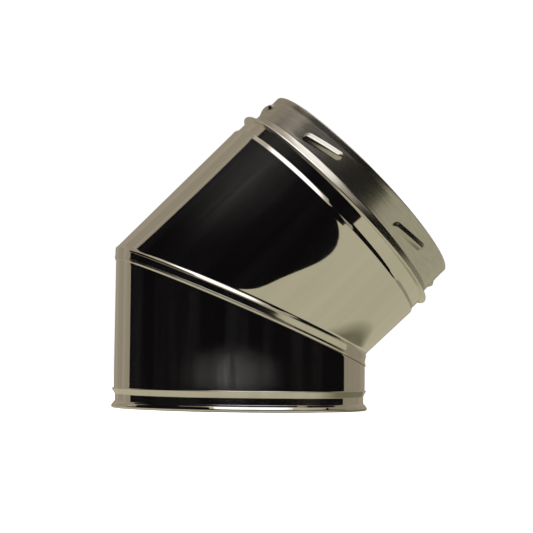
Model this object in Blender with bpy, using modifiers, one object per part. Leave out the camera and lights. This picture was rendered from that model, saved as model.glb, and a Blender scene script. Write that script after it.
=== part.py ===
"""Twin-wall insulated flue elbow, 45 degrees, two gores, twist-lock ends.

Metres, +Z up.  The origin is the centre of the lower end, which lies on z = 0.  The lower leg
stands on +Z and the upper leg leans 45 degrees from it towards +X, so the throat of the bend is
on +X and the heel on -X.  Sections are drawn in millimetres as (radius, height) points.
"""

from math import cos, pi, radians, sin, tan

import bmesh
import bpy
from mathutils import Matrix, Vector

MM = 0.001

# ---- driving dimensions, millimetres ----
BEND = radians(45)  # angle between the two legs
HALF = BEND / 2  # tilt of the mitre plane
MITRE_Z = 85.4  # height of the mitre centre over the lower end
UPPER_END = 134.5  # mitre centre to the free end, along the upper leg
GAP = 0.3  # clearance between touching pieces

CASING_R = 99.7  # outer radius of the casing at the mitre, nominally a 200 mm casing
CASING_T = 0.5
LOWER_SHOULDER_R = 99.9  # each gore widens a little towards its free end
UPPER_SHOULDER_R = 100.8
LOWER_NECK_R = 98.9
UPPER_NECK_R = 99.4

BORE_R = 75.0  # 150 mm flue
LINER_T = 0.6
SOCKET_R = 76.3  # inner radius of the liner's socket
SOCKET_FROM, SOCKET_TO = 105.3, 130.0

COLLAR_R = 95.9  # outer radius of the male twist-lock collar
COLLAR_T = 0.6
RING_R = 98.1  # outer radius of the female twist-lock ring
RING_T = 0.4
RING_TOP = 30.2

RIB_COUNT = 6
RIB_FIRST = radians(32.6)  # from -Y towards the throat (+X)
RIB_HALF_LENGTH = 18.5
RIB_HALF_WIDTH = 3.9
RIB_RISE = tan(radians(9))  # helix of the locking ramps
RIB_HEIGHT = 1.7
RIB_AT = 119.9  # along the upper leg
LUG_AT = 10.0  # height of the female lugs over the lower end
LUG_DEPTH = 1.4

PLATE_T = 0.5
LOWER_PLATE_Z = 30.6
UPPER_PLATE_S = 101.9
PLATE_BORE_R = 79.2
PLATE_COLLAR = 5.0  # turned collar round the liner

SPACER_COUNT = 3
SPACER_WIDTH = 12.0
SPACER_LENGTH = 12.0
SPACER_T = 0.8

OUTER_SEGMENTS = 48
INNER_SEGMENTS = 36

# ---- scene ----
for old in list(bpy.data.objects):
    bpy.data.objects.remove(old, do_unlink=True)
for old in list(bpy.data.collections):
    bpy.data.collections.remove(old)

ELBOW = bpy.data.collections.new("flue_elbow")
CUTTERS = bpy.data.collections.new("cutters")
for collection in (ELBOW, CUTTERS):
    bpy.context.scene.collection.children.link(collection)


def material(name, colour, roughness, metallic):
    made = bpy.data.materials.new(name)
    made.use_nodes = True
    shader = made.node_tree.nodes["Principled BSDF"]
    shader.inputs["Base Color"].default_value = (*colour, 1.0)
    shader.inputs["Roughness"].default_value = roughness
    shader.inputs["Metallic"].default_value = metallic
    made.diffuse_color = (*colour, 1.0)
    return made


CASING_STEEL = ((0.78, 0.77, 0.75), 0.06, 1.0)
COUPLER_STEEL = ((0.66, 0.65, 0.62), 0.34, 1.0)
LINER_STEEL = ((0.70, 0.69, 0.68), 0.22, 1.0)
PLATE_STEEL = ((0.62, 0.62, 0.61), 0.38, 1.0)
WELD_METAL = ((0.50, 0.49, 0.48), 0.45, 1.0)
MINERAL_WOOL = ((0.63, 0.58, 0.40), 0.95, 0.0)
CERAMIC_FIBRE = ((0.90, 0.89, 0.86), 0.92, 0.0)


def empty(name, height, tilt):
    """A frame whose origin is on a leg's axis and whose +Z runs along that axis."""
    frame = bpy.data.objects.new(name, None)
    frame.location = (0, 0, height * MM)
    frame.rotation_euler = (0, tilt, 0)
    ELBOW.objects.link(frame)
    return frame


UPPER_LEG = empty("upper_leg", MITRE_Z, BEND)  # heights along it count from the mitre centre


def add(name, mesh, look=None, parent=None, smooth=True):
    """Link a finished mesh as a named piece, or as a hidden cutter where it has no look."""
    obj = bpy.data.objects.new(name, mesh)
    (ELBOW if look else CUTTERS).objects.link(obj)
    if look:
        mesh.materials.append(material(name, *look))
    else:
        obj.hide_render = True
        obj.display_type = "WIRE"
    for face in mesh.polygons:
        face.use_smooth = smooth
    if smooth:
        mesh.set_sharp_from_angle(angle=radians(35))
    obj.parent = parent
    return obj


def mesh_from(name, points, faces):
    mesh = bpy.data.meshes.new(name)
    mesh.from_pydata([Vector(p) * MM for p in points], [], faces)
    mesh.update()
    return mesh


# ---- sections ----
def offset(line, distance):
    """The polyline moved to its right by distance, corners mitred."""
    moved = []
    for i, (x, y) in enumerate(line):
        normals = []
        for a, b in ((i - 1, i), (i, i + 1)):
            if a >= 0 and b < len(line):
                d = Vector((line[b][0] - line[a][0], line[b][1] - line[a][1])).normalized()
                normals.append(Vector((d.y, -d.x)))
        n = sum(normals, Vector((0, 0))).normalized()
        step = distance / max(n.dot(normals[0]), 0.5)
        moved.append((x + n.x * step, y + n.y * step))
    return moved


def turned(name, outline, look, segments, parent=None):
    """A closed (radius, height) outline turned about the frame's Z."""
    points = [(r, 0, z) for r, z in outline]
    mesh = bpy.data.meshes.new(name)
    edges = [(i, (i + 1) % len(points)) for i in range(len(points))]
    mesh.from_pydata([Vector(p) * MM for p in points], edges, [])
    obj = add(name, mesh, look, parent)
    screw = obj.modifiers.new("turn", "SCREW")
    screw.axis = "Z"
    screw.angle = 2 * pi
    screw.steps = screw.render_steps = segments
    screw.use_smooth_shade = True
    screw.use_merge_vertices = True
    screw.merge_threshold = 0.00001
    return obj


# ---- gores: lofts from a round end to the slanted mitre ----
def on_leg(radius, angle, height, upper):
    """Point of a leg's cylinder, angle counted from the throat, height from the mitre centre."""
    x, y = radius * cos(angle), radius * sin(angle)
    tilt = BEND if upper else 0.0
    return (
        x * cos(tilt) + height * sin(tilt),
        y,
        MITRE_Z - x * sin(tilt) + height * cos(tilt),
    )


def at_mitre(radius, angle, rise, upper):
    """Point of a leg's cylinder that stands rise over the mitre plane."""
    lean = sin(HALF) * (1 if not upper else -1)
    height = (rise - radius * cos(angle) * lean) / cos(HALF)
    return on_leg(radius, angle, height, upper)


def gore(name, look, upper, outer, inner, seam_outer, seam_inner, segments):
    """One gore of sheet or wool.

    outer and inner are the round stations, as (radius, height from the mitre centre), running
    from the free end to the mitre.  seam_outer and seam_inner give the slanted stations there
    for an angle, as (radius, rise); a positive rise lies on the upper leg.
    """
    sections = []
    for k in range(segments):
        angle = 2 * pi * k / segments
        ring = [on_leg(r, angle, h, upper) for r, h in outer]
        for line, back in ((seam_outer(angle), False), (seam_inner(angle), True)):
            for r, rise in reversed(line) if back else line:
                side = rise > 0 if rise else upper
                ring.append(at_mitre(r, angle, rise, side))
        ring += [on_leg(r, angle, h, upper) for r, h in reversed(inner)]
        sections.append(ring)
    count = len(sections[0])
    points = [p for ring in sections for p in ring]
    faces = []
    for k in range(segments):
        a, b = k * count, ((k + 1) % segments) * count
        for i in range(count):
            j = (i + 1) % count
            face = (a + i, a + j, b + j, b + i)
            faces.append(face if upper else face[::-1])
    return add(name, mesh_from(name, points, faces), look)


# ---- the lock seam: the upper casing folds over the lower casing's turned edge ----
def blend(angle, heel, front, throat):
    """A size that changes smoothly round the mitre from heel to side to throat."""
    c = cos(angle)
    return front + ((throat if c > 0 else heel) - front) * c * c


def seam_skin(angle):
    """Outer face of the fold, from the upper casing down: ridge, flat band, thin hem."""
    stations = (
        # rise over the mitre, then height over the casing at heel, side and throat
        (3.4, 0.0, 0.0, 0.0),
        (2.3, 0.15, 0.6, 0.35),
        (1.1, 0.35, 1.45, 0.8),
        (0.0, 0.5, 1.65, 1.2),
        (-1.1, 0.62, 1.4, 0.85),
        (-2.2, 0.64, 1.3, 0.55),
        (-5.4, 0.66, 1.15, -0.2),
        (-6.6, 0.9, 1.6, 0.3),
        (-7.8, 0.9, 1.55, 0.55),
        (-8.7, 0.75, 1.0, 0.6),
    )
    return [(CASING_R + blend(angle, *sizes), rise) for rise, *sizes in stations]


def seam_lining(angle):
    skin = seam_skin(angle)
    return offset(skin, CASING_T)


def edge_skin(angle):
    """Outer face of the lower casing where it slips inside the fold and ends in a turned edge."""
    stations = (
        (-10.4, 0.0, 0.0, 0.0),
        (-8.6, -0.15, 0.0, -0.35),
        (-6.8, -0.2, 0.0, -0.9),
        (-4.6, -0.2, 0.0, -1.3),
        (-1.6, -0.2, 0.0, -0.55),
        (-0.7, -0.1, 0.45, 0.1),
    )
    return [(CASING_R + blend(angle, *sizes), rise) for rise, *sizes in stations]


def edge_lining(angle):
    return offset(edge_skin(angle), -CASING_T)


lower_line = [
    (99.6, 0.0),
    (101.0, 0.0),
    (101.6, 0.7),
    (101.75, 1.7),
    (101.4, 2.8),
    (100.4, 3.8),
    (99.3, 4.7),
    (LOWER_NECK_R, 5.9),
    (LOWER_NECK_R, 10.7),
    (99.6, 11.6),
    (100.6, 12.5),
    (100.9, 13.6),
    (100.5, 14.8),
    (LOWER_SHOULDER_R, 16.2),
]
lower_skin = [(r, z - MITRE_Z) for r, z in lower_line]
gore(
    "lower_casing",
    CASING_STEEL,
    False,
    lower_skin,
    offset(lower_skin, -CASING_T),
    edge_skin,
    edge_lining,
    OUTER_SEGMENTS,
)

upper_line = [
    (101.3, 106.2),
    (102.5, 106.2),
    (103.05, 105.5),
    (103.1, 104.6),
    (102.5, 103.6),
    (101.3, 103.1),
    (100.0, 102.8),
    (UPPER_NECK_R, 101.9),
    (UPPER_NECK_R, 96.2),
    (99.8, 95.0),
    (100.9, 94.2),
    (101.2, 92.8),
    (UPPER_SHOULDER_R, 91.2),
]
gore(
    "upper_casing",
    CASING_STEEL,
    True,
    upper_line,
    offset(upper_line, CASING_T),
    seam_skin,
    seam_lining,
    OUTER_SEGMENTS,
)

# ---- twist-lock couplers ----
def pad(name, parent, radius, sink, height, inset, at, centre):
    """A raised ramp wrapped round a cylinder: a frustum whose walls lean in as it rises.

    height is positive outwards and negative inwards; sink is how far it starts behind the
    surface; inset shrinks it on every side, for the hollow behind the ramp.
    """
    steps = 6
    outwards = 1 if height > 0 else -1
    points = []
    for step in (-sink, abs(height)):
        lean = 0.6 * max(step, 0) + inset
        length, width = RIB_HALF_LENGTH - lean, RIB_HALF_WIDTH - lean
        r = radius + outwards * step
        for i in range(steps + 1):
            x = length * (2 * i / steps - 1)
            angle = centre + x / COLLAR_R - pi / 2
            for side in (-1, 1):
                z = at + x * RIB_RISE + side * width
                points.append((r * cos(angle), r * sin(angle), z))
    level = 2 * (steps + 1)
    faces = [(0, 1, level + 1, level), (level - 1, level - 2, 2 * level - 2, 2 * level - 1)]
    for i in range(0, 2 * steps, 2):
        faces += [
            (i, i + 2, i + 3, i + 1),
            (level + i, level + i + 1, level + i + 3, level + i + 2),
            (i, level + i, level + i + 2, i + 2),
            (i + 1, i + 3, level + i + 3, level + i + 1),
        ]
    mesh = mesh_from(name, points, faces)
    build = bmesh.new()
    build.from_mesh(mesh)
    bmesh.ops.recalc_face_normals(build, faces=build.faces)
    build.to_mesh(mesh)
    build.free()
    return add(name, mesh, parent=parent, smooth=False)


def emboss(obj, parent, radius, thickness, height, at):
    """Press evenly spaced ramps into a coupler: a pad added on one face, a hollow cut behind it."""
    side = 1 if height > 0 else -1
    far = radius if height > 0 else radius - thickness  # the face that the ramp stands on
    for kind, operation in (("pad", "UNION"), ("hollow", "DIFFERENCE")):
        group = bpy.data.collections.new(f"{obj.name}_{kind}s")
        CUTTERS.children.link(group)
        for k in range(RIB_COUNT):
            centre = RIB_FIRST + 2 * pi * k / RIB_COUNT
            if kind == "pad":
                made = pad(f"{obj.name}_pad_{k}", parent, far, 0.35, height, 0.0, at, centre)
            else:
                behind = far - side * thickness
                made = pad(
                    f"{obj.name}_hollow_{k}", parent, behind, 0.8, height, 0.75, at, centre
                )
            CUTTERS.objects.unlink(made)
            group.objects.link(made)
        press = obj.modifiers.new(kind, "BOOLEAN")
        press.operation = operation
        press.operand_type = "COLLECTION"
        press.collection = group
        press.solver = "EXACT"


collar_line = [
    (96.2, UPPER_END),
    (96.2, UPPER_END - 0.9),
    (COLLAR_R, UPPER_END - 3.1),
    (COLLAR_R, 111.2),
    (96.3, 109.2),
    (97.5, 107.2),
    (99.0, 106.0),
    (100.6, 105.2),
    (102.3, 105.0),
]
collar = turned(
    "upper_coupler",
    collar_line + list(reversed(offset(collar_line, COLLAR_T))),
    COUPLER_STEEL,
    OUTER_SEGMENTS,
    UPPER_LEG,
)
emboss(collar, UPPER_LEG, COLLAR_R, COLLAR_T, RIB_HEIGHT, RIB_AT)

ring_line = [
    (RING_R, RING_TOP),
    (RING_R, 2.4),
    (98.8, 1.5),
    (101.0, 1.4),
]
ring = turned(
    "lower_coupler",
    ring_line + list(reversed(offset(ring_line, RING_T))),
    COUPLER_STEEL,
    OUTER_SEGMENTS,
)
emboss(ring, None, RING_R, RING_T, -LUG_DEPTH, LUG_AT)

# ---- inner liner ----
LINER_R = BORE_R + LINER_T


def cut_at(radius, rise):
    return lambda angle: [(radius, rise)]


lower_liner = [(75.1, 0.6 - MITRE_Z), (LINER_R, 5.0 - MITRE_Z)]
gore(
    "lower_liner",
    LINER_STEEL,
    False,
    lower_liner,
    [(r - LINER_T, h) for r, h in lower_liner],
    cut_at(LINER_R, -GAP / 2),
    cut_at(BORE_R, -GAP / 2),
    INNER_SEGMENTS,
)

upper_liner = [
    (SOCKET_R + LINER_T + 0.7, SOCKET_TO),
    (SOCKET_R + LINER_T, SOCKET_TO - 1.6),
    (SOCKET_R + LINER_T, SOCKET_FROM - 0.2),
    (LINER_R, SOCKET_FROM - 1.8),
]
gore(
    "upper_liner",
    LINER_STEEL,
    True,
    upper_liner,
    offset(upper_liner, LINER_T),
    cut_at(LINER_R, GAP / 2),
    cut_at(BORE_R, GAP / 2),
    INNER_SEGMENTS,
)


def weld_ring(name, look, stations, segments):
    """A bead that follows the mitre of the liner, a closed outline of (radius, rise) stations."""
    points = []
    for k in range(segments):
        angle = 2 * pi * k / segments
        points += [at_mitre(r, angle, rise, rise > 0) for r, rise in stations]
    count = len(stations)
    faces = []
    for k in range(segments):
        a, b = k * count, ((k + 1) % segments) * count
        for i in range(count):
            j = (i + 1) % count
            faces.append((a + i, a + j, b + j, b + i))
    return add(name, mesh_from(name, points, faces), look)


WELD_IN = LINER_R + GAP
weld_ring(
    "liner_mitre_weld",
    WELD_METAL,
    [(WELD_IN, 1.6), (WELD_IN + 0.9, 0.7), (WELD_IN + 0.9, -0.7), (WELD_IN, -1.6), (WELD_IN, 0)],
    INNER_SEGMENTS,
)

# ---- end plates, fibre rings ----
lower_plate = [
    (PLATE_BORE_R, LOWER_PLATE_Z),
    (PLATE_BORE_R, LOWER_PLATE_Z + PLATE_COLLAR),
    (PLATE_BORE_R + PLATE_T, LOWER_PLATE_Z + PLATE_COLLAR),
    (PLATE_BORE_R + PLATE_T, LOWER_PLATE_Z + PLATE_T),
    (CASING_R - CASING_T - GAP, LOWER_PLATE_Z + PLATE_T),
    (CASING_R - CASING_T - GAP, LOWER_PLATE_Z),
]
turned("lower_end_plate", lower_plate, PLATE_STEEL, INNER_SEGMENTS)

upper_plate = [
    (PLATE_BORE_R, UPPER_PLATE_S + PLATE_T - PLATE_COLLAR),
    (PLATE_BORE_R, UPPER_PLATE_S + PLATE_T),
    (UPPER_NECK_R - CASING_T - 0.4, UPPER_PLATE_S + PLATE_T),
    (UPPER_NECK_R - CASING_T - 0.4, UPPER_PLATE_S),
    (PLATE_BORE_R + PLATE_T, UPPER_PLATE_S),
    (PLATE_BORE_R + PLATE_T, UPPER_PLATE_S + PLATE_T - PLATE_COLLAR),
]
turned("upper_end_plate", upper_plate, PLATE_STEEL, INNER_SEGMENTS, UPPER_LEG)


def fibre_ring(name, bottom, top, parent=None):
    inside, outside = LINER_R + GAP, PLATE_BORE_R - GAP
    outline = [(inside, bottom), (inside, top), (outside, top), (outside, bottom)]
    return turned(name, outline, CERAMIC_FIBRE, INNER_SEGMENTS, parent)


fibre_ring("lower_fibre_ring", LOWER_PLATE_Z + 0.2, LOWER_PLATE_Z + PLATE_COLLAR - 0.4)
fibre_ring(
    "upper_fibre_ring",
    UPPER_PLATE_S + PLATE_T - PLATE_COLLAR + 0.4,
    UPPER_PLATE_S + PLATE_T - 0.2,
    UPPER_LEG,
)

# ---- mineral wool, notched for the spacers ----
WOOL_IN = LINER_R + GAP
WOOL_OUT = CASING_R - CASING_T - 0.4
WOOL_CLEAR = PLATE_BORE_R + PLATE_T + GAP
wool_low = LOWER_PLATE_Z + PLATE_T + GAP - MITRE_Z
wool_step = LOWER_PLATE_Z + PLATE_COLLAR + GAP - MITRE_Z
lower_wool = gore(
    "lower_insulation",
    MINERAL_WOOL,
    False,
    [(WOOL_OUT, wool_low)],
    [(WOOL_CLEAR, wool_low), (WOOL_CLEAR, wool_step), (WOOL_IN, wool_step)],
    lambda angle: [(WOOL_OUT, -9.5), (96.4, -GAP / 2)],
    lambda angle: [(WOOL_IN, -4.0), (77.5, -GAP / 2)],
    INNER_SEGMENTS,
)
wool_top = UPPER_PLATE_S - GAP
wool_notch = UPPER_PLATE_S + PLATE_T - PLATE_COLLAR - GAP
upper_wool = gore(
    "upper_insulation",
    MINERAL_WOOL,
    True,
    [(97.7, wool_top), (97.7, 92.5), (WOOL_OUT, 89.5)],
    [(WOOL_CLEAR, wool_top), (WOOL_CLEAR, wool_notch), (WOOL_IN, wool_notch)],
    lambda angle: [(WOOL_OUT, 9.5), (96.4, GAP / 2)],
    lambda angle: [(WOOL_IN, 4.0), (77.5, GAP / 2)],
    INNER_SEGMENTS,
)


def spacer(name, look, angle, bottom, parent, clearance=0.0, overshoot=0.0):
    """A bent strip that holds liner and casing apart: a foot on each, joined by a slanted web.

    With a clearance it becomes the notch that the wool needs for it.
    """
    near, far = LINER_R + GAP + 0.2, CASING_R - CASING_T - GAP - 0.7
    top = bottom + SPACER_LENGTH
    if clearance:
        half = SPACER_WIDTH / 2 + clearance
        low, high = bottom - clearance, top + clearance
        low, high = (low - overshoot, high) if overshoot > 0 else (low, high - overshoot)
        outline = [(near - 9, low), (far + 9, low), (far + 9, high), (near - 9, high)]
    else:
        half = SPACER_WIDTH / 2
        line = [
            (near, bottom),
            (near, bottom + 3.2),
            (far - SPACER_T, top - 3.2),
            (far - SPACER_T, top),
        ]
        outline = line + list(reversed(offset(line, SPACER_T)))
    points = [(r, side * half, z) for side in (-1, 1) for r, z in outline]
    count = len(outline)
    faces = [tuple(range(count)), tuple(range(2 * count - 1, count - 1, -1))]
    faces += [(i, i + count, (i + 1) % count + count, (i + 1) % count) for i in range(count)]
    mesh = mesh_from(name, points, faces)
    mesh.transform(Matrix.Rotation(angle, 4, "Z"))
    build = bmesh.new()
    build.from_mesh(mesh)
    bmesh.ops.recalc_face_normals(build, faces=build.faces)
    build.to_mesh(mesh)
    build.free()
    return add(name, mesh, look, parent, smooth=False)


for leg, wool, parent, bottom, overshoot in (
    ("lower", lower_wool, None, LOWER_PLATE_Z + PLATE_COLLAR + 1.5, 12.0),
    ("upper", upper_wool, UPPER_LEG, 81.0, -24.0),
):
    notches = bpy.data.collections.new(f"{leg}_notches")
    CUTTERS.children.link(notches)
    for k in range(SPACER_COUNT):
        angle = 2 * pi * (k + 0.5) / SPACER_COUNT
        spacer(f"{leg}_spacer_{k + 1}", PLATE_STEEL, angle, bottom, parent)
        notch = spacer(f"{leg}_notch_{k + 1}", None, angle, bottom, parent, GAP, overshoot)
        CUTTERS.objects.unlink(notch)
        notches.objects.link(notch)
    cut = wool.modifiers.new("notches", "BOOLEAN")
    cut.operation = "DIFFERENCE"
    cut.operand_type = "COLLECTION"
    cut.collection = notches
    cut.solver = "EXACT"
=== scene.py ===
"""Looks for the twin-wall flue elbow: smooth sheet-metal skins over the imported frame, and a studio."""

from math import cos, pi, radians, sin, tan

import bpy
import numpy as np
from mathutils import Matrix, Vector


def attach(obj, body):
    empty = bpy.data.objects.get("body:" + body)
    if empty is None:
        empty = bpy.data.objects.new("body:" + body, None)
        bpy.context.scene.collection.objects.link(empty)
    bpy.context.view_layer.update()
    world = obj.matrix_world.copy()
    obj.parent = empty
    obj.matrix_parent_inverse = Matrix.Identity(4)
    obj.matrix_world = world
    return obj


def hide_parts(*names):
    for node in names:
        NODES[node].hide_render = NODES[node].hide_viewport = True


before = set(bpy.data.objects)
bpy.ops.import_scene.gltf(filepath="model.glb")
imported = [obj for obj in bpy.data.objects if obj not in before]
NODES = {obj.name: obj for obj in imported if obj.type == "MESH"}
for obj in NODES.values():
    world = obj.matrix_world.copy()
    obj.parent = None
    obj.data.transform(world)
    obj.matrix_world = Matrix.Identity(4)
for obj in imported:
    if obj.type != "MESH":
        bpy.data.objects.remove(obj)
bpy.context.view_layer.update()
MM = 0.001

# ---------------------------------------------------------------- driving dimensions, millimetres
BEND = radians(45)  # between the two legs
HALF = BEND / 2  # tilt of the mitre plane
MITRE_Z = 85.4  # height of the mitre centre over the lower end
CASING_R, CASING_T = 99.7, 0.5  # at the mitre
LOWER_NECK_R, LOWER_SHOULDER_R = 98.9, 99.9  # between lip and bead, and past the bead
UPPER_NECK_R, UPPER_SHOULDER_R = 99.4, 100.8
UPPER_TOP = 106.2  # free end of the upper casing, along the upper leg
LINER_R, LINER_T = 75.6, 0.6
COLLAR_R, COLLAR_T = 95.9, 0.6  # male twist-lock collar
COLLAR_FLARE = 0.4  # how much wider it is at its foot
COLLAR_LOW, COLLAR_HIGH = 112.2, 130.2  # straight part of the collar, along the upper leg
RING_R, RING_T = 98.1, 0.4  # female twist-lock ring
RING_LOW, RING_HIGH = 3.2, 30.2  # straight part of the ring, over the lower end
PLATE_T, PLATE_BORE_R, PLATE_COLLAR = 0.5, 79.2, 5.0
LOWER_PLATE_Z, UPPER_PLATE_AT = 30.6, 102.4  # over the lower end; along the upper leg
RIB_COUNT = 6  # locking ramps round each collar
RIB_FIRST = radians(32.6)  # from -Y towards the throat
RIB_RISE = tan(radians(9))  # their helix
RIB_HALF_LENGTH, RIB_HALF_WIDTH, RIB_HEIGHT = 18.5, 3.9, 2.2
RIB_AT = 121.0  # along the upper leg
RIB_GROWTH = 0.2  # share of its height that a ramp gains at its last end and loses at its first
LUG_DEPTH, LUG_AT = 1.4, 10.0  # the same ramps, pressed inwards into the ring

# ---------------------------------------------------------------- shape tools
SHORT_STRAIGHT = 1.2  # up to this length a straight gets no points of its own
FIRST_POINT, SECOND_POINT = 0.25, 0.5  # from either end of a longer one
SAME_POINT = 0.02  # points nearer to each other than this become one
LONGEST_CUT = 0.48  # share of a straight that a rounded corner may take
FINE_PITCH = 0.8


def straight_points(start, direction, length, pitch):
    """Points along a straight, closer near its ends, so that its shading stays flat."""
    if length <= SHORT_STRAIGHT:
        return []
    count = max(2, int(length / pitch) + 1)
    inner = np.linspace(SECOND_POINT, length - SECOND_POINT, count)
    return [start + direction * m for m in (FIRST_POINT, *inner, length - FIRST_POINT)]


def fillet(line, cut=3.0, steps=5, pitch=3.0):
    """Round a polyline's corners and put points along its straights.

    A corner is cut off by cut to either side and rounded in steps; pitch lies between the points
    along a straight.
    """
    line = [np.array(p, float) for p in line]
    runs = [np.linalg.norm(b - a) for a, b in zip(line, line[1:])]
    out = [line[0]]
    entry = line[0]
    for i in range(1, len(line)):
        last = i == len(line) - 1
        here = line[i]
        back = 0.0 if last else min(cut, LONGEST_CUT * runs[i - 1], LONGEST_CUT * runs[i])
        direction = (here - line[i - 1]) / runs[i - 1]
        arrive = here - direction * back
        out += straight_points(entry, direction, np.linalg.norm(arrive - entry), pitch)
        out.append(arrive)
        if last:
            break
        leave = here + (line[i + 1] - here) / runs[i] * back
        for t in np.arange(1, steps + 1) / steps:
            out.append(arrive * (1 - t) ** 2 + here * 2 * t * (1 - t) + leave * t * t)
        entry = leave
    kept = [out[0]]
    for p in out[1:]:
        if np.linalg.norm(p - kept[-1]) > SAME_POINT:
            kept.append(p)
    return np.array(kept)


def on_leg(radius, angle, height, upper):
    """Points at a radius and an angle from +X, at a height along a leg over the mitre centre."""
    x, y = radius * np.cos(angle), radius * np.sin(angle)
    tilt = BEND if upper else 0.0
    return np.stack(
        [x * cos(tilt) + height * sin(tilt), y, MITRE_Z - x * sin(tilt) + height * cos(tilt)], -1
    )


def mitre_height(radius, angle, rise, upper):
    """Height along a leg of the plane that lies rise over the mitre plane."""
    lean = sin(HALF) * (-1 if upper else 1)
    return (rise - radius * np.cos(angle) * lean) / cos(HALF)


def blend(angle, heel, front, throat):
    """A value that changes smoothly round the ring between its heel, sides and throat."""
    c = np.cos(angle)
    return front + (np.where(c > 0, throat, heel) - front) * c * c


def grid_mesh(name, grid):
    """A sheet from a (columns, rows, 3) grid of points; its columns close into a ring."""
    columns, rows = grid.shape[:2]
    verts = grid.reshape(-1, 3) * MM
    faces = []
    for k in range(columns):
        a, b = k * rows, ((k + 1) % columns) * rows
        faces += [(a + i, a + i + 1, b + i + 1, b + i) for i in range(rows - 1)]
    mesh = bpy.data.meshes.new(name)
    mesh.from_pydata(verts.tolist(), [], faces)
    mesh.polygons.foreach_set("use_smooth", [True] * len(mesh.polygons))
    mesh.update()
    return mesh


def place(name, data):
    """Link a new object into the scene."""
    obj = bpy.data.objects.new(name, data)
    bpy.context.scene.collection.objects.link(obj)
    return obj


def show(node, grid, material, thickness):
    """Show a sheet, made solid on its inner side, in place of a CAD node."""
    mesh = grid_mesh(node + "_skin", grid)
    mesh.materials.append(material)
    obj = place(mesh.name, mesh)
    solid = obj.modifiers.new("sheet", "SOLIDIFY")
    solid.thickness = thickness * MM
    solid.offset = -1.0
    solid.use_rim = True
    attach(obj, "root")
    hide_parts(node)


# ---------------------------------------------------------------- materials
ROLLED_DULL, ROLLED_CLEAR = (0.80, 0.785, 0.755), (0.86, 0.845, 0.815)
SATIN_DULL, SATIN_CLEAR = (0.60, 0.59, 0.56), (0.74, 0.73, 0.70)
WOOL_DEEP, WOOL_PALE = (0.34, 0.27, 0.13), (0.66, 0.58, 0.36)
FIBRE_DEEP, FIBRE_PALE = (0.70, 0.69, 0.65), (0.90, 0.89, 0.86)
WELD_DARK, WELD_CLEAR = (0.30, 0.27, 0.24), (0.58, 0.55, 0.50)


class Nodes:
    """Short hand for building a material's node tree."""

    def __init__(self, name):
        self.material = bpy.data.materials.new(name)
        self.material.use_nodes = True
        self.tree = self.material.node_tree
        self.shader = self.tree.nodes["Principled BSDF"]

    def add(self, kind, **settings):
        """Add a node and set its properties."""
        node = self.tree.nodes.new(kind)
        for key, value in settings.items():
            setattr(node, key, value)
        return node

    def feed(self, value, socket):
        """Set a number or a colour on a socket, or link an output to it."""
        if isinstance(value, (int, float)):
            socket.default_value = value
        elif isinstance(value, tuple):
            socket.default_value = (*value, 1.0)
        else:
            self.tree.links.new(value, socket)

    def coords(self, tilt=0.0, scale=(1, 1, 1)):
        """Object coordinates turned so that Z runs along a leg, then stretched."""
        where = self.add("ShaderNodeTexCoord")
        turn = self.add("ShaderNodeVectorRotate", rotation_type="Y_AXIS")
        turn.inputs["Angle"].default_value = -tilt
        turn.inputs["Center"].default_value = (0, 0, MITRE_Z * MM)
        stretch = self.add("ShaderNodeMapping")
        stretch.inputs["Scale"].default_value = scale
        self.feed(where.outputs["Object"], turn.inputs["Vector"])
        self.feed(turn.outputs["Vector"], stretch.inputs["Vector"])
        return stretch.outputs["Vector"]

    def noise(self, vector, scale, detail=4.0, rough=0.55):
        node = self.add("ShaderNodeTexNoise")
        self.feed(vector, node.inputs["Vector"])
        self.feed(scale, node.inputs["Scale"])
        self.feed(detail, node.inputs["Detail"])
        self.feed(rough, node.inputs["Roughness"])
        return node.outputs["Fac"]

    def length(self, vector):
        """Length of a vector."""
        node = self.add("ShaderNodeVectorMath", operation="LENGTH")
        self.feed(vector, node.inputs[0])
        return node.outputs["Value"]

    def spread(self, value, low, high, start=0.3, end=0.7, kind="LINEAR"):
        """Stretch the values from start to end over low to high."""
        node = self.add("ShaderNodeMapRange", interpolation_type=kind)
        self.feed(value, node.inputs["Value"])
        self.feed(start, node.inputs["From Min"])
        self.feed(end, node.inputs["From Max"])
        self.feed(low, node.inputs["To Min"])
        self.feed(high, node.inputs["To Max"])
        return node.outputs["Result"]

    def mix(self, factor, a, b):
        """A colour between a, at factor 0, and b, at factor 1."""
        node = self.add("ShaderNodeMix", data_type="RGBA")
        self.feed(factor, node.inputs["Factor"])
        self.feed(a, node.inputs[6])
        self.feed(b, node.inputs[7])
        return node.outputs[2]

    def math(self, operation, a, b):
        node = self.add("ShaderNodeMath", operation=operation)
        self.feed(a, node.inputs[0])
        self.feed(b, node.inputs[1])
        return node.outputs["Value"]

    def bump(self, height, strength, distance, after=None):
        """A bumped normal, on top of another one if given."""
        node = self.add("ShaderNodeBump")
        self.feed(height, node.inputs["Height"])
        self.feed(strength, node.inputs["Strength"])
        self.feed(distance, node.inputs["Distance"])
        if after:
            self.feed(after, node.inputs["Normal"])
        return node.outputs["Normal"]

    def finish(self, colour, rough, metallic, normal=None):
        """Fill in the surface and return the material."""
        self.feed(colour, self.shader.inputs["Base Color"])
        self.feed(rough, self.shader.inputs["Roughness"])
        self.feed(metallic, self.shader.inputs["Metallic"])
        if normal:
            self.feed(normal, self.shader.inputs["Normal"])
        return self.material

    def glow(self, colour):
        """Make the material a plain source of light."""
        self.tree.nodes.remove(self.shader)
        light = self.add("ShaderNodeEmission")
        self.feed(colour, light.inputs["Color"])
        self.feed(light.outputs[0], self.tree.nodes["Material Output"].inputs["Surface"])
        return self.material


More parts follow.
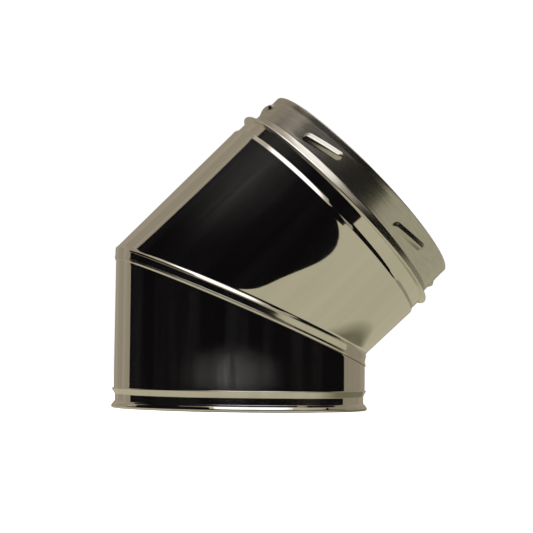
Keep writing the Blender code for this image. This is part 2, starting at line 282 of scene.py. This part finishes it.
def bright_sheet(name, tilt, haze_at, haze_size, haze):
    """Bright-rolled stainless steel: faint rolling grain along the leg, smears and a soft wave.

    haze_at and haze_size place a greyish, hand-wiped film, in metres in the leg's coordinates.
    """
    n = Nodes(name)
    along = n.coords(tilt, (1, 1, 0.04))
    grain = n.noise(along, scale=900.0, detail=3.0)
    streak = n.noise(along, scale=60.0, detail=2.0)
    wiped = n.noise(along, scale=150.0, detail=3.0)
    smear = n.noise(n.coords(tilt, (1, 1, 0.6)), scale=14.0, detail=5.0, rough=0.6)
    rough = n.math("ADD", n.spread(grain, 0.0, 0.02), n.spread(smear, 0.022, 0.05))
    colour = n.mix(n.spread(streak, 0.0, 1.0), ROLLED_DULL, ROLLED_CLEAR)
    wave = n.noise(n.coords(tilt, (1, 1, 0.35)), scale=9.0, detail=1.0)
    normal = n.bump(wave, strength=0.25, distance=0.0006)
    normal = n.bump(grain, strength=0.02, distance=0.00004, after=normal)
    # the film: a little diffuse scatter, thickest at haze_at and drawn out into streaks
    film_space = n.add("ShaderNodeMapping", vector_type="TEXTURE")
    film_space.inputs["Location"].default_value = haze_at
    film_space.inputs["Scale"].default_value = haze_size
    n.feed(n.coords(tilt), film_space.inputs["Vector"])
    away = n.length(film_space.outputs["Vector"])
    patch = n.spread(away, 0.0, 1.0, start=1.0, end=0.0, kind="SMOOTHERSTEP")
    film = n.math("MULTIPLY", patch, n.spread(wiped, 0.4, 1.0, start=0.34, end=0.7))
    film = n.math("ADD", film, n.spread(streak, 0.0, 0.12, start=0.45, end=0.75))
    metallic = n.math("SUBTRACT", 1.0, n.math("MULTIPLY", film, haze))
    return n.finish(colour, rough, metallic, normal)


def satin_sheet(name, tilt, tint=1.0, rough=(0.235, 0.265)):
    """Satin stainless steel, finely brushed round the ring; rough is its range of roughness."""
    n = Nodes(name)
    brush = n.noise(n.coords(tilt, (0.06, 0.06, 1)), scale=1500.0, detail=2.0)
    cloud = n.noise(n.coords(tilt), scale=22.0, detail=4.0)
    dull = tuple(c * tint for c in SATIN_DULL)
    clear = tuple(c * tint for c in SATIN_CLEAR)
    colour = n.mix(n.spread(brush, 0.0, 1.0), dull, clear)
    roughness = n.math("ADD", n.spread(cloud, *rough), n.spread(brush, -0.01, 0.01))
    return n.finish(colour, roughness, 1.0)


def wool(name):
    """Yellowish mineral wool: long fibres and soft tufts."""
    n = Nodes(name)
    fibres = n.noise(n.coords(0.0, (1, 1, 0.3)), scale=420.0, detail=6.0, rough=0.7)
    tufts = n.noise(n.coords(0.0), scale=60.0, detail=4.0)
    colour = n.mix(n.spread(fibres, 0.0, 1.0), WOOL_DEEP, WOOL_PALE)
    normal = n.bump(fibres, strength=0.8, distance=0.0012)
    return n.finish(colour, n.spread(tufts, 0.85, 1.0), 0.0, normal)


def fibre(name):
    """White ceramic fibre."""
    n = Nodes(name)
    fibres = n.noise(n.coords(0.0), scale=700.0, detail=5.0, rough=0.7)
    colour = n.mix(n.spread(fibres, 0.0, 1.0), FIBRE_DEEP, FIBRE_PALE)
    normal = n.bump(fibres, strength=0.5, distance=0.0005)
    return n.finish(colour, n.spread(fibres, 0.8, 0.95), 0.0, normal)


def weld(name):
    """Rippled, slightly darkened weld metal."""
    n = Nodes(name)
    ripple = n.noise(n.coords(HALF), scale=380.0, detail=3.0)
    colour = n.mix(n.spread(ripple, 0.0, 1.0), WELD_DARK, WELD_CLEAR)
    normal = n.bump(ripple, strength=0.6, distance=0.0006)
    return n.finish(colour, n.spread(ripple, 0.35, 0.6), 1.0, normal)


LOWER_BRIGHT = bright_sheet(
    "casing_steel_lower",
    0.0,
    haze_at=(-0.012, -0.1, 0.028),
    haze_size=(0.048, 0.12, 0.028),
    haze=0.07,
)
UPPER_BRIGHT = bright_sheet(
    "casing_steel_upper",
    BEND,
    haze_at=(-0.073, -0.08, 0.16),
    haze_size=(0.048, 0.12, 0.10),
    haze=0.04,
)
UPPER_SATIN = satin_sheet("coupler_steel_upper", BEND, tint=0.94)
LOWER_SATIN = satin_sheet("coupler_steel_lower", 0.0)
LINER_LOW = satin_sheet("liner_steel_lower", 0.0, tint=1.05, rough=(0.16, 0.24))
LINER_UP = satin_sheet("liner_steel_upper", BEND, tint=1.05, rough=(0.16, 0.24))
PLATE = satin_sheet("plate_steel", 0.0, tint=0.95, rough=(0.30, 0.42))
WOOL = wool("mineral_wool")
FIBRE = fibre("ceramic_fibre")
WELD = weld("weld_metal")

# ---------------------------------------------------------------- casings
COLUMNS = 288
ANGLES = np.arange(COLUMNS) * 2 * pi / COLUMNS  # from +X, the throat
SIDE_LEANS = (1.62, 0.61, -3.36, 1.26)  # degrees, at even stations from the seam to the bead
SIDE_LENGTH = 91.0  # of the upper gore's side, from seam to bead
END_TURN = 0.06  # share of that length over which the sheet turns at its ends
SEAM_SHARE = 0.6
ROW_REACH = 11  # rows lie closer than this from either end of a gore
NEAR_BEAD = (0, 0.3, 0.8, 1.5, 2.5, 4, 6, 8, ROW_REACH)
NEAR_SEAM = (ROW_REACH, 8, 6, 4.5, 3.2, 2.2, 1.4, 0.8, 0.35, 0)
MIDDLE_ROWS, MIDDLE_SPAN = 34, (0.02, 0.98)  # of what lies between them
SHORT_GORE = 30  # below this length the rows near the ends draw together


def bulge(f):
    """How far the sheet's sides stand out between the seam (f = 0) and the bead (f = 1).

    The lean changes smoothly through SIDE_LEANS and its sum is the height. What that leaves over
    at the bead is taken up by a short turn at each end, SEAM_SHARE of it at the seam.
    """
    lean = np.polyfit(np.linspace(0, 1, len(SIDE_LEANS)), np.radians(SIDE_LEANS), 3)
    height = np.polyval(np.polyint(lean), f)
    left_over = np.polyval(np.polyint(lean), 1.0)
    seam_turn = 1 - np.exp(-f / END_TURN)
    bead_turn = np.exp((f - 1) / END_TURN)
    height = height - left_over * (SEAM_SHARE * seam_turn + (1 - SEAM_SHARE) * bead_turn)
    return SIDE_LENGTH * height * np.sin(ANGLES) ** 2


def gore_rows(length):
    """How far from the bead each row of a gore lies, all round the ring."""
    squeeze = np.minimum(1, length / SHORT_GORE)
    low, high = ROW_REACH * squeeze, length - ROW_REACH * squeeze
    rows = [d * squeeze for d in NEAR_BEAD]
    rows += [low + (high - low) * f for f in np.linspace(*MIDDLE_SPAN, MIDDLE_ROWS)]
    rows += [length - d * squeeze for d in NEAR_SEAM]
    return rows


def gore_grid(upper, end_line, seam_line):
    """Grid of a gore's outer face: its free end, rings that lean over to the mitre, its seam.

    end_line holds (radius, height) and seam_line (rise over the mitre, radii) stations. Only the
    upper gore's sides swell.
    """
    rows = [on_leg(r, ANGLES, h, upper) for r, h in end_line[:-1]]
    end_radius, end_height = end_line[-1]
    rise, seam_radius = seam_line[0]
    seam_height = mitre_height(seam_radius, ANGLES, rise, upper)
    length = np.abs(seam_height - end_height)
    for d in gore_rows(length):
        f = d / length
        radius = end_radius + (seam_radius - end_radius) * f
        if upper:
            radius = radius + bulge(1 - f)
        rows.append(on_leg(radius, ANGLES, end_height + (seam_height - end_height) * f, upper))
    for rise, radius in seam_line[1:]:
        above = rise > 0
        rows.append(on_leg(radius, ANGLES, mitre_height(radius, ANGLES, rise, above), above))
    return np.stack(rows, 1)


def seam_rows(stations, cut, steps=5):
    """Rounded seam stations: the fillet works at heel, side and throat alike."""
    lines = [fillet([(s[0], s[k]) for s in stations], cut, steps, FINE_PITCH) for k in (1, 2, 3)]
    shares = []
    for line in lines:
        run = np.cumsum(np.linalg.norm(np.diff(line, axis=0), axis=1))
        shares.append(np.concatenate([[0], run / run[-1]]))
    rise, front = lines[1].T
    heel, throat = (np.interp(shares[1], shares[k], lines[k][:, 1]) for k in (0, 2))
    radii = [CASING_R + blend(ANGLES, *heights) for heights in zip(heel, front, throat)]
    return list(zip(rise, radii))


# the seam folded over by the upper gore: rise over the mitre, height over the casing at heel,
# side and throat
SEAM = [
    (2.4, 0.0, 0.0, 0.0),
    (1.3, 0.06, 0.15, 0.1),
    (-0.9, 0.45, 1.5, 0.95),
    (-1.15, 0.5, 1.62, 1.0),
    (-1.2, 0.56, 1.14, 0.75),
    (-1.6, 0.58, 1.1, 0.7),
    (-5.4, 0.66, 0.88, -0.1),
    (-6.5, 0.72, 0.82, -0.1),
    (-6.6, 0.9, 1.5, 0.3),
    (-7.8, 0.9, 1.5, 0.55),
    (-8.7, 0.75, 1.0, 0.6),
    (-8.9, 0.3, 0.5, 0.3),
]
# the lower gore's edge, which the seam covers
EDGE = [
    (-10.4, 0.0, 0.0, 0.0),
    (-8.6, -0.15, 0.0, -0.35),
    (-6.8, -0.2, 0.0, -0.9),
    (-4.6, -0.2, 0.0, -1.3),
    (-1.6, -0.2, 0.0, -0.55),
    (-0.7, -0.1, 0.45, 0.1),
]

# the lower casing's free end: (radius, height over the lower end) of its rolled lip, its neck and
# its bead
NECK_TOP, BEAD_LOW, BEAD_HIGH, BEAD_END = 11.1, 15.4, 15.5, 15.9
BEAD_R = 101.1
HEEL_BEAD = 0.6  # how much taller the bead stands at the heel
LOWER_END = [
    (99.6, 0.0),
    (100.9, 0.1),
    (101.6, 0.7),
    (101.8, 1.6),
    (101.75, 2.2),
    (100.5, 4.0),
    (LOWER_NECK_R, 5.5),
    (LOWER_NECK_R, NECK_TOP),
    (BEAD_R, BEAD_LOW),
    (BEAD_R, BEAD_HIGH),
    (99.95, BEAD_END),
    (LOWER_SHOULDER_R, 17.4),
]


def lower_end_line(radius, z):
    """A station of the lower end, whose bead stands taller at the heel than elsewhere."""
    rising = (z - NECK_TOP) / (BEAD_LOW - NECK_TOP)
    falling = (BEAD_END - z) / (BEAD_END - BEAD_HIGH)
    bead = max(0, min(rising, falling, 1))
    return radius - HEEL_BEAD * bead * np.minimum(0, np.cos(ANGLES)), z - MITRE_Z


# the upper casing's free end: (radius, height along the leg) of its lip, its neck and its bead
UPPER_END = [
    (101.3, UPPER_TOP),
    (102.1, UPPER_TOP),
    (102.6, 105.6),
    (102.8, 104.9),
    (102.75, 104.5),
    (102.5, 104.0),
    (UPPER_NECK_R, 103.7),
    (UPPER_NECK_R, 94.2),
    (99.65, 93.5),
    (100.2, 92.3),
    (100.95, 90.9),
    (100.95, 90.6),
    (UPPER_SHOULDER_R, 87.5),
]

rounded = fillet(LOWER_END, cut=0.3, steps=4, pitch=FINE_PITCH)
lower_line = [lower_end_line(r, z) for r, z in rounded]
grid = gore_grid(upper=False, end_line=lower_line, seam_line=seam_rows(EDGE, cut=1.2))
show("lower_casing", grid[::-1], LOWER_BRIGHT, CASING_T)
upper_line = fillet(UPPER_END, cut=0.3, steps=4, pitch=FINE_PITCH)
grid = gore_grid(upper=True, end_line=upper_line, seam_line=seam_rows(SEAM, cut=0.6))
show("upper_casing", grid, UPPER_BRIGHT, CASING_T)

# ---------------------------------------------------------------- twist-lock couplers
SECTOR = 2 * pi * COLLAR_R / RIB_COUNT  # length round the collar from ramp to ramp
TURN_BACK = RIB_HALF_LENGTH + 3  # from here the grid's rows run back to the next ramp's start
RIB_REACH = RIB_HALF_WIDTH + 0.5  # half the width of the band of close rows over a ramp
CREST_EASE, FOOT_EASE = 0.12, 0.3
OUTSIDE_END, INSIDE_END = 0.6, 5  # the zone of close columns over a ramp's end
COLUMN_COUNTS = [17, 21, 21, 21, 17]  # before a ramp, over its end, middle and end, and after it
ROWS_UNDER, ROWS_OVER, ROWS_ACROSS = 6, 8, 31  # a ramp


def ramp_height(x, y):
    """Height, 0 to 1, of a pressed ramp at x along it and y across it.

    It is a ridge with round ends: its crest is eased by CREST_EASE, its foot by FOOT_EASE.
    """
    past_end = np.maximum(np.abs(x) - (RIB_HALF_LENGTH - RIB_HALF_WIDTH), 0)
    t = np.clip(1 - np.hypot(past_end, y) / RIB_HALF_WIDTH, 0, 1)
    ridge = t * (1 - CREST_EASE * t**4) / (1 - CREST_EASE)
    return ridge * (1 - FOOT_EASE * (1 - t) ** 4)


def ramp_stations():
    """Places round the ring from a ramp's middle, closer over the ramp's ends."""
    outer, inner = RIB_HALF_LENGTH + OUTSIDE_END, RIB_HALF_LENGTH - INSIDE_END
    marks = [-SECTOR / 2, -outer, -inner, inner, outer, SECTOR / 2]
    runs = zip(marks, marks[1:], COLUMN_COUNTS)
    return np.concatenate([np.linspace(a, b, n, endpoint=False) for a, b, n in runs])


def coupler_grid(upper, radius, flare, ramp_at, rise, low, high, foot, tip):
    """Grid of a coupler's ring: its rows follow the pressed ramps between low and high.

    The ring is wider by flare at low. A ramp's middle lies at ramp_at and stands out by rise.
    foot and tip are the (radius, height) outlines below and above.
    """
    ramp = ramp_at + np.linspace(-RIB_REACH, RIB_REACH, ROWS_ACROSS)
    under = np.linspace(low, ramp[0], ROWS_UNDER + 1)[:-1]
    over = np.linspace(ramp[-1], high, ROWS_OVER + 1)[1:]
    heights = np.concatenate([under, ramp, over])
    wider = np.interp(heights, [low, high], [flare, 0])
    follow = np.interp(heights, [low, ramp[0], ramp[-1], high], [0, 1, 1, 0])
    grid = []
    for k in range(RIB_COUNT):
        centre = RIB_FIRST + 2 * pi * k / RIB_COUNT - pi / 2
        for x in ramp_stations():
            past = max(0, (abs(x) - TURN_BACK) / (SECTOR / 2 - TURN_BACK))
            lift = np.sign(x) * min(abs(x), TURN_BACK) * (1 - past) * RIB_RISE
            here = rise * (1 + RIB_GROWTH * x / RIB_HALF_LENGTH)
            r = radius + wider + here * ramp_height(x, heights - ramp_at)
            line = np.concatenate([foot, np.stack([r, heights + lift * follow], 1), tip])
            grid.append(on_leg(line[:, 0], centre + x / COLLAR_R, line[:, 1], upper))
    return np.array(grid)


# (radius, height along the leg): the collar's foot, tucked under the casing's lip, and its tip
COLLAR_FOOT = [
    (102.0, 105.0),
    (100.6, 105.2),
    (99.4, UPPER_TOP),
    (97.0, 109.7),
    (COLLAR_R + COLLAR_FLARE, COLLAR_LOW - 1),
    (COLLAR_R + COLLAR_FLARE, COLLAR_LOW),
]
COLLAR_TIP = [(COLLAR_R, COLLAR_HIGH), (96.0, 133.4), (96.0, 134.6), (95.6, 135.0)]
grid = coupler_grid(
    upper=True,
    radius=COLLAR_R,
    flare=COLLAR_FLARE,
    ramp_at=RIB_AT,
    rise=RIB_HEIGHT,
    low=COLLAR_LOW,
    high=COLLAR_HIGH,
    foot=fillet(COLLAR_FOOT, cut=1.0, steps=5, pitch=FINE_PITCH)[:-1],
    tip=fillet(COLLAR_TIP, cut=0.3, steps=4, pitch=FINE_PITCH)[1:],
)
show("upper_coupler", grid[::-1], UPPER_SATIN, COLLAR_T)

# (radius, height over the lower end): the ring's foot, turned out to the casing's lip
RING_FOOT = [(101.0, 1.4), (98.8, 1.5), (RING_R, 2.4), (RING_R, RING_LOW)]
grid = coupler_grid(
    upper=False,
    radius=RING_R,
    flare=0.0,
    ramp_at=LUG_AT - MITRE_Z,
    rise=-LUG_DEPTH,
    low=RING_LOW - MITRE_Z,
    high=RING_HIGH - MITRE_Z,
    foot=fillet(RING_FOOT, cut=0.5, steps=5, pitch=FINE_PITCH)[:-1] - (0, MITRE_Z),
    tip=np.empty((0, 2)),
)
show("lower_coupler", grid[::-1], LOWER_SATIN, RING_T)

# ---------------------------------------------------------------- liner, end plates
LINER_GAP = 0.15  # either side of the mitre, where the weld lies
LINER_ROWS = 13


def liner_grid(upper, line):
    """Grid of a liner's outer face, from its free end's outline to the mitre."""
    rows = [on_leg(r, ANGLES, h, upper) for r, h in line]
    radius, height = line[-1]
    edge = mitre_height(radius, ANGLES, LINER_GAP if upper else -LINER_GAP, upper)
    for f in np.linspace(0, 1, LINER_ROWS + 1)[1:]:
        rows.append(on_leg(radius, ANGLES, height + (edge - height) * f, upper))
    return np.stack(rows, 1)


# (radius, height over the lower end): the plain end, drawn in a little
PLAIN_END = [(74.9, 0.6), (LINER_R, 4.0), (LINER_R, 12.0)]
rounded = fillet(PLAIN_END, cut=2.0, steps=5, pitch=2.0)
grid = liner_grid(upper=False, line=rounded - (0, MITRE_Z))
show("lower_liner", grid[::-1], LINER_LOW, LINER_T)

# (radius, height along the leg): the socket that takes the next liner's plain end
SOCKET_R = 76.9
SOCKET_END = [(77.8, 130.0), (SOCKET_R, 128.4), (SOCKET_R, 105.1), (LINER_R, 103.4), (LINER_R, 96.0)]
grid = liner_grid(upper=True, line=fillet(SOCKET_END, cut=1.2, steps=5, pitch=3.0))
show("upper_liner", grid, LINER_UP, LINER_T)


def plate_sheet(node, line, upper):
    """Show a ring plate, turned over into a short collar round the liner."""
    line = fillet(line, cut=1.0, steps=4, pitch=4.0)
    if not upper:
        line = line - (0, MITRE_Z)
    grid = np.stack([on_leg(r, ANGLES, h, upper) for r, h in line], 1)
    show(node, grid, PLATE, PLATE_T)


lower_plate = [
    (PLATE_BORE_R, LOWER_PLATE_Z + PLATE_COLLAR),
    (PLATE_BORE_R, LOWER_PLATE_Z),
    (LOWER_NECK_R, LOWER_PLATE_Z),
]
upper_plate = [
    (98.5, UPPER_PLATE_AT),
    (PLATE_BORE_R, UPPER_PLATE_AT),
    (PLATE_BORE_R, UPPER_PLATE_AT - PLATE_COLLAR),
]
plate_sheet("lower_end_plate", lower_plate, upper=False)
plate_sheet("upper_end_plate", upper_plate, upper=True)

# ---------------------------------------------------------------- pieces shown as packed
PACKED_LOOKS = {"insulation": WOOL, "fibre": FIBRE, "weld": WELD}
for name, obj in NODES.items():
    look = PLATE
    for word, material in PACKED_LOOKS.items():
        if word in name:
            look = material
            break
    for slot in obj.material_slots:
        slot.material = look

# ---------------------------------------------------------------- studio, metres
KHAKI = (0.46, 0.43, 0.305)
SHADE = (0.17, 0.155, 0.095)
DEEP_SHADE = (0.09, 0.085, 0.07)
PAPER = (0.36, 0.313, 0.238)
DARK_PAPER = (0.285, 0.25, 0.185)
PAPER_STREAK = (0.23, 0.20, 0.145)
CEILING = (0.50, 0.44, 0.36)
FAR_CEILING = (0.12, 0.11, 0.09)
SOFTBOX = (1.5, 1.45, 1.38)
TABLE_Z, CEILING_Z, SOFTBOX_Z = -0.15, 1.35, 1.25
LEFT_TOP, RIGHT_TOP = 2.6, 1.7  # of the paper
WALL_X = 1.3
DISC_SIDES = 24


def panel(name, corners, colour, near=None, reach=(0.0, 1.0), centre=(0, 0, 0), streaks=0.0):
    """A stage panel that glows and that only reflections see.

    near is its colour close to the centre, reach the distances where that gives way, streaks the
    share of upright darker bands.
    """
    mesh = bpy.data.meshes.new(name)
    points = [Vector(c) - Vector(centre) for c in corners]
    mesh.from_pydata(points, [], [tuple(range(len(corners)))])
    n = Nodes(name)
    where = n.add("ShaderNodeTexCoord").outputs["Object"]
    tone = n.mix(n.spread(n.length(where), 0.0, 1.0, *reach), near or colour, colour)
    if streaks:
        stretch = n.add("ShaderNodeMapping")
        stretch.inputs["Scale"].default_value = (1, 1, 0.05)
        n.feed(where, stretch.inputs["Vector"])
        bands = n.noise(stretch.outputs["Vector"], scale=7.0, detail=2.0)
        share = n.spread(bands, 0.0, streaks, start=0.35, end=0.65)
        tone = n.mix(share, tone, PAPER_STREAK)
    mesh.materials.append(n.glow(tone))
    obj = place(name, mesh)
    obj.location = centre
    obj.visible_camera = obj.visible_diffuse = obj.visible_shadow = False


def level(outline, z):
    """Corners of a level panel."""
    return [(x, y, z) for x, y in outline]


def disc(centre, radius):
    """Corners of a level round panel."""
    x, y, z = centre
    around = np.linspace(0, 2 * pi, DISC_SIDES, endpoint=False)
    return [(x + radius * cos(a), y + radius * sin(a), z) for a in around]


# the pale table, as the metal sees it
TABLE = [(-3.0, -2.3), (4.0, -2.3), (4.0, 1.5), (-3.0, 1.5)]
panel("table_reflection", level(TABLE, TABLE_Z), KHAKI)

# the elbow's own shade on it, under the lip and under the throat
under_lip = (0, 0, -0.14)
panel(
    "lip_shade",
    disc(under_lip, radius=0.15),
    KHAKI,
    near=DEEP_SHADE,
    reach=(0.12, 0.148),
    centre=under_lip,
)
under_throat = (0.10, -0.01, -0.001)
panel(
    "throat_shade",
    disc(under_throat, radius=0.09),
    KHAKI,
    near=SHADE,
    reach=(0.055, 0.087),
    centre=under_throat,
)

# the paper behind and beside, from the left edge of the dark room round to the right edge: foot
# and head of each of its upright edges
PAPER_EDGES = [
    [(-0.936, 0.482, TABLE_Z), (-0.72, 0.82, LEFT_TOP)],
    [(-0.9, 1.4, TABLE_Z), (-0.9, 1.4, LEFT_TOP)],
    [(1.2, 1.4, TABLE_Z), (1.2, 1.4, RIGHT_TOP)],
    [(1.036, 0.21, TABLE_Z), (1.036, 0.21, RIGHT_TOP)],
]
PAPER_TONES = [PAPER, PAPER, DARK_PAPER]
for i, tone in enumerate(PAPER_TONES):
    (foot_a, head_a), (foot_b, head_b) = PAPER_EDGES[i : i + 2]
    panel(f"paper_{i}", [foot_a, foot_b, head_b, head_a], tone, streaks=0.5)

# a strip of wall high up on the right
WALL = [(-0.9, 0.78), (-0.55, 0.78), (-0.55, 1.5), (-0.9, 1.5)]
panel("wall", [(WALL_X, y, z) for y, z in WALL], PAPER)

# the ceiling, its left edge running off into the dark room, and the softbox under it
CEILING_EDGE = [
    (-0.6, 0.9),
    (-0.74, 0.43),
    (-0.8, 0.0),
    (-0.54, -0.43),
    (-0.48, -0.76),
    (-0.42, -1.12),
    (-0.3, -1.55),
    (-0.2, -2.0),
    (0.6, -2.0),
    (0.9, -1.0),
    (1.5, -0.6),
    (1.5, 0.9),
]
panel(
    "ceiling",
    level(CEILING_EDGE, CEILING_Z),
    FAR_CEILING,
    near=CEILING,
    reach=(1.0, 2.0),
    centre=(0.2, 0.0, CEILING_Z),
)
SOFTBOX_EDGE = [(-0.42, 0.35), (-0.42, -0.85), (0.8, -0.85), (0.8, 0.35)]
panel(
    "softbox",
    level(SOFTBOX_EDGE, SOFTBOX_Z),
    CEILING,
    near=SOFTBOX,
    reach=(0.52, 0.74),
    centre=(0.14, -0.38, SOFTBOX_Z),
)

# ---------------------------------------------------------------- white surround, dark room, lamps
FLOOR_REACH = 6.0
DOME_R, DOME_SIDES = 7.5, 48
DOME_LEVELS = [(1.0, -4.0), (1.0, 4.0), (0.6, 7.5), (0.05, 8.5)]  # share of its radius, height
DARK_ROOM = (0.0042, 0.0037, 0.0040)
LAMP_COLOUR = (1.0, 0.98, 0.95)
LAMP_SIZE = 1.2
LAMP_TARGET = (0, 0, 0.1)


def white_floor():
    """A floor that is plain white to the camera and unseen in the metal."""
    n = Nodes("floor")
    n.shader.inputs["Specular IOR Level"].default_value = 0.0
    n.shader.inputs["Emission Color"].default_value = (1, 1, 1, 1)
    n.shader.inputs["Emission Strength"].default_value = 1.0
    mesh = bpy.data.meshes.new("floor")
    r = FLOOR_REACH
    mesh.from_pydata(level([(-r, -r), (r, -r), (r, r), (-r, r)], 0), [], [(0, 1, 2, 3)])
    mesh.materials.append(n.finish((0.9, 0.9, 0.9), 0.9, 0.0))
    floor = place("floor", mesh)
    floor.visible_glossy = False


def white_dome():
    """A closed white surround that only the camera sees."""
    sides = range(DOME_SIDES)
    angles = np.linspace(0, 2 * pi, DOME_SIDES, endpoint=False)
    points = [(DOME_R * cos(a) * s, DOME_R * sin(a) * s, z) for s, z in DOME_LEVELS for a in angles]
    faces = []
    for k in range(len(DOME_LEVELS) - 1):
        low, high = k * DOME_SIDES, (k + 1) * DOME_SIDES
        for i in sides:
            j = (i + 1) % DOME_SIDES
            faces.append((low + i, low + j, high + j, high + i))
    faces += [tuple(sides), tuple(high + i for i in sides)]
    mesh = bpy.data.meshes.new("surround")
    mesh.from_pydata(points, [], faces)
    mesh.materials.append(Nodes("surround").glow((1.0, 1.0, 1.0)))
    dome = place("surround", mesh)
    dome.visible_glossy = dome.visible_diffuse = dome.visible_shadow = False


def dark_room():
    """What the metal sees where there is no panel."""
    world = bpy.data.worlds.new("dark_room")
    world.use_nodes = True
    background = world.node_tree.nodes["Background"]
    background.inputs["Color"].default_value = (*DARK_ROOM, 1)
    background.inputs["Strength"].default_value = 1.0
    bpy.context.scene.world = world


def lamp(name, location, power):
    """A square area lamp that points at the elbow and that reflections don't see."""
    light = bpy.data.lights.new(name, "AREA")
    light.shape = "RECTANGLE"
    light.size = light.size_y = LAMP_SIZE
    light.energy = power
    light.color = LAMP_COLOUR
    obj = place(name, light)
    obj.location = location
    direction = Vector(LAMP_TARGET) - Vector(location)
    obj.rotation_euler = direction.to_track_quat("-Z", "Y").to_euler()
    obj.visible_glossy = obj.visible_camera = False


white_floor()
white_dome()
dark_room()
lamp("key", (-0.6, -0.9, 1.3), power=18.0)
lamp("fill", (0.9, 0.6, 1.2), power=8.0)
bpy.context.scene.view_settings.view_transform = "Standard"

# ---------------------------------------------------------------- camera
LENS = 126.83
ROLL, PITCH, YAW = 0.0138, -0.046568, 0.0869436  # radians
SEEN_AT = (-0.0207, 1.5, -0.028)  # the mitre centre from the camera: right, ahead and up, metres

data = bpy.data.cameras.new("camera")
data.sensor_width = 36.0
data.lens = LENS
data.clip_start, data.clip_end = 0.05, 40.0
camera = place("camera", data)
turn = Matrix.Rotation(ROLL, 3, "Y") @ Matrix.Rotation(PITCH, 3, "X") @ Matrix.Rotation(YAW, 3, "Z")
to_world = turn.transposed()
camera.location = Vector((0, 0, MITRE_Z * MM)) - to_world @ Vector(SEEN_AT)
looking = to_world @ Matrix(((1, 0, 0), (0, 0, -1), (0, 1, 0)))
camera.rotation_euler = looking.to_euler()
bpy.context.scene.camera = camera
